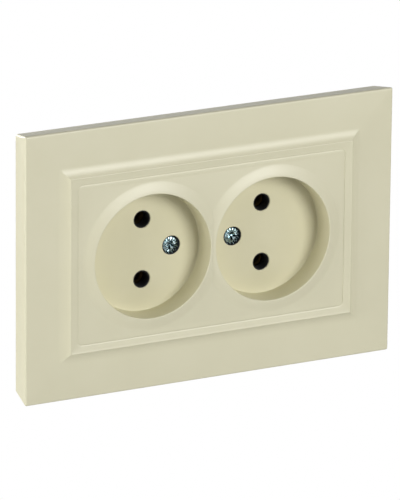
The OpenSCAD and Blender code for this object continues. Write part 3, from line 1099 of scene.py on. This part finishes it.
@dataclass(frozen=True)
class SleeveSet:
    """The black rings of painted shade round the screws' heads and the sleeves inside the pin
    holes; sizes in millimetres.

    Attributes:
        screw_play: How much smaller a screw's black ring of painted shade is than its hole.
        screw_inner_r: Its bore.
        screw_front_y: Its front.
        screw_lift: How far its back stands off the seat.
        pin_play: How much smaller a pin's collar is than its hole.
        pin_inner_r: Its bore.
        pin_inset: How far its front lies behind the well's floor.
        pin_back_y: Its back, against the base.
    """

    screw_play: float = 0.01
    screw_inner_r: float = 2.84
    screw_front_y: float = -3.2
    screw_lift: float = 0.02
    pin_play: float = 0.06
    pin_inner_r: float = 2.5
    pin_inset: float = 0.2
    pin_back_y: float = 0.6

    def build(self, cover: TwinWellCover) -> None:
        """Put a black sleeve in each pin hole and a black ring of painted shade round each screw's
        head.

        Args:
            cover: The cover that the holes are in.
        """
        for side in Side:
            word = side.name.lower()
            # round the screw's head: a black ring that paints the shade in the gap round the head
            BlackSleeve(
                name=f"screw_sleeve_{word}",
                body="cover",
                x=side.value * cover.screw_x,
                z=0.0,
                outer_r=cover.sink_r - self.screw_play,
                inner_r=self.screw_inner_r,
                front_y=self.screw_front_y,
                back_y=cover.sink_y - self.screw_lift,
            ).build()
            for pole in Pole:
                BlackSleeve(
                    name=f"pin_collar_{pole.name.lower()}_{word}",
                    body="mechanism",
                    x=side.value * cover.well_x,
                    z=pole.value * cover.pin_z,
                    outer_r=cover.pin_r - self.pin_play,
                    inner_r=self.pin_inner_r,
                    front_y=cover.floor_y + self.pin_inset,
                    back_y=self.pin_back_y,
                ).build()


# ---------------------------------------------------------------- mechanism


# How a node's name starts and its finish; the first that fits is taken.
NODE_FINISHES = (
    ("support_plate", ZINC_STRIP),
    ("base_body", BLACK_PHENOLIC),
    ("rear_cover", BLACK_POLYAMIDE),
    ("base_screw", ZINC_BRIGHT),
    ("rear_screw", ZINC_BRIGHT),
    ("cover_insert", BRASS_STRIP),
    ("busbar", BRASS_STRIP),
    ("contact_ring", SPRING_WIRE),
    # the contacts take brass darkened as painted shade
    ("contact_", BRASS_PAINTED_SHADE),
    ("clamp_", ZINC_STRIP),
    ("terminal_screw", ZINC_BRIGHT),
    ("claw_screw", ZINC_BRIGHT),
    ("claw_pin", SPRING_WIRE),
    ("claw_", ZINC_STRIP),
)
# Nodes that new pieces stand for.
REBUILT = ("outer_frame", "front_cover", "cover_screw_left", "cover_screw_right")


def dress_mechanism(nodes: dict[str, Object]) -> None:
    """Give each CAD node that stays visible its own finish; its shape stays as it is.

    Args:
        nodes: The frame's nodes by name.
    """
    for name, node in nodes.items():
        if name in REBUILT:
            continue
        finish = next(f for start, f in NODE_FINISHES if name.startswith(start))
        node.data.materials.clear()
        node.data.materials.append(finish.make())
        LOG.info("%s: %s", name, finish.name)


# ---------------------------------------------------------------- studio


@dataclass(frozen=True)
class Lamp:
    """A square soft lamp that faces the socket.

    Attributes:
        name: Its name.
        place: Where it stands, in metres.
        power: Its power in watts.
        size: Length of its side, in metres.
    """

    name: str
    place: tuple[float, float, float]
    power: float
    size: float = 0.8

    def build(self) -> Object:
        """Hang the lamp and turn it to the socket."""
        data = bpy.data.lights.new(self.name, "AREA")
        data.shape, data.size, data.energy = "SQUARE", self.size, self.power
        lamp = bpy.data.objects.new(self.name, data)
        turn = (-Vector(self.place)).to_track_quat("-Z", "Y").to_matrix().to_4x4()
        lamp.matrix_world = Matrix.Translation(self.place) @ turn
        bpy.context.scene.collection.objects.link(lamp)
        return lamp


@dataclass(frozen=True)
class Studio:
    """Camera, floor and lights.

    Attributes:
        yaw_deg: How far the camera stands to the left.
        pitch_deg: How far it looks down.
        roll_deg: How far it is turned about its own axis.
        distance_mm: From the point aimed at to the camera.
        offset_mm: How far the view's middle lies to the right of and above that point.
        aim_y_mm: The point aimed at, along Y.
        lens_mm: Focal length.
        sensor_mm: Width of the sensor.
        floor_z: The floor's height, in metres.
        floor_half: Half the floor's side, in metres.
        fill: Strength of the world's light.
        lamps: The lamps.
    """

    yaw_deg: float = 27.23
    pitch_deg: float = 17.774
    roll_deg: float = 0.554
    distance_mm: float = 1758.03
    offset_mm: tuple[float, float] = (3.257, 1.229)
    aim_y_mm: float = -9.2
    lens_mm: float = 417.5
    sensor_mm: float = 36.0
    floor_z: float = -0.6
    floor_half: float = 6.0
    fill: float = 0.02
    lamps: tuple[Lamp, ...] = (
        Lamp("key", (0.526, -1.445, 0.441), 21.3),
        Lamp("front_left", (-1.55, -0.329, 0.223), 11.0),
        Lamp("left_side", (-1.594, 0.139, 0.0), 14.5),
        Lamp("behind", (-0.41, 1.53, 0.223), 13.0),
    )

    def camera(self) -> Object:
        """Stand the camera in front, to the left and above."""
        yaw, pitch, bank = (math.radians(a) for a in (self.yaw_deg, self.pitch_deg, self.roll_deg))
        level = math.cos(pitch)
        ahead = Vector((math.sin(yaw) * level, math.cos(yaw) * level, -math.sin(pitch)))
        right = Vector((math.cos(yaw), -math.sin(yaw), 0.0))
        up = right.cross(ahead)
        cos, sin = math.cos(bank), math.sin(bank)
        right, up = right * cos + up * sin, up * cos - right * sin
        place = -(right * self.offset_mm[0] + up * self.offset_mm[1] + ahead * self.distance_mm)
        place = (place + Vector((0, self.aim_y_mm, 0))) * MM
        data = bpy.data.cameras.new("camera")
        data.lens, data.sensor_width, data.clip_end = self.lens_mm, self.sensor_mm, 20.0
        camera = bpy.data.objects.new("camera", data)
        turn = Matrix((right, up, -ahead)).transposed().to_4x4()
        camera.matrix_world = Matrix.Translation(place) @ turn
        bpy.context.scene.collection.objects.link(camera)
        bpy.context.scene.camera = camera
        return camera

    def world(self) -> None:
        """A plain pale surround that the camera and the reflections see as white."""
        world = bpy.data.worlds.new("studio")
        bpy.context.scene.world = world
        world.use_nodes = True
        tree = world.node_tree
        tree.nodes.clear()
        white = linear("#FFFFFF")
        rays = add_node(tree, "LightPath").outputs

        def either(one: NodeSocket, other: NodeSocket) -> NodeSocket:
            """Add a node that tells whether a ray is of one kind or the other."""
            return add_node(tree, "Math", {0: one, 1: other}, operation="MAXIMUM").outputs[0]

        direct = either(rays["Is Camera Ray"], rays["Is Transmission Ray"])
        seen = either(direct, rays["Is Glossy Ray"])
        lit = add_node(tree, "Background", {"Color": white, "Strength": self.fill})
        pale = add_node(tree, "Background", {"Color": white, "Strength": 1.0})
        mixed = add_node(tree, "MixShader", {0: seen, 1: lit.outputs[0], 2: pale.outputs[0]})
        add_node(tree, "OutputWorld", {"Surface": mixed.outputs[0]})

    def floor(self) -> Object:
        """A pale floor, well below the socket, which hangs as if on its wall."""
        bm = bmesh.new()
        bmesh.ops.create_grid(bm, x_segments=2, y_segments=2, size=self.floor_half)
        bmesh.ops.translate(bm, verts=bm.verts, vec=(0, 0, self.floor_z))
        floor = to_object(bm, "studio_floor")
        # matt white paper; the camera sees it as white, and it gives back a little less light
        material = bpy.data.materials.new("paper, white matt")
        material.use_nodes = True
        tree = material.node_tree
        tree.nodes.clear()
        rays = add_node(tree, "LightPath").outputs
        place = add_node(tree, "TexCoord").outputs["Object"]
        grain = add_node(tree, "TexNoise", {"Vector": place, "Scale": 40.0}).outputs["Fac"]
        stops = [(0.3, "#C6C6C4"), (0.7, "#CCCCCA")]
        tone = ramp(add_node(tree, "ValToRGB", {"Fac": grain}), stops)
        paper = add_node(tree, "BsdfDiffuse", {"Color": tone.outputs["Color"]})
        pale = add_node(tree, "Emission", {"Color": linear("#FFFFFF"), "Strength": 1.0})
        shown = {0: rays["Is Camera Ray"], 1: paper.outputs[0], 2: pale.outputs[0]}
        mixed = add_node(tree, "MixShader", shown)
        add_node(tree, "OutputMaterial", {"Surface": mixed.outputs[0]})
        floor.data.materials.append(material)
        return floor

    def build(self) -> None:
        """Set up the camera, world, floor and lamps."""
        bpy.context.scene.view_settings.view_transform = "Standard"
        self.camera()
        self.world()
        self.floor()
        for lamp in self.lamps:
            lamp.build()


def main() -> None:
    """Build the socket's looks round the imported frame."""
    logging.basicConfig(level=logging.INFO, format="%(name)s: %(message)s")
    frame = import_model()
    Studio().build()
    SurroundFrame().build()
    cover = TwinWellCover()
    cover.build()
    for side, turn in ((Side.LEFT, 22.0), (Side.RIGHT, 5.0)):
        CrossHeadScrew(side, side.value * cover.screw_x, turn).build()
    SleeveSet().build(cover)
    dress_mechanism(frame["nodes"])


if __name__ == "__main__":
    main()
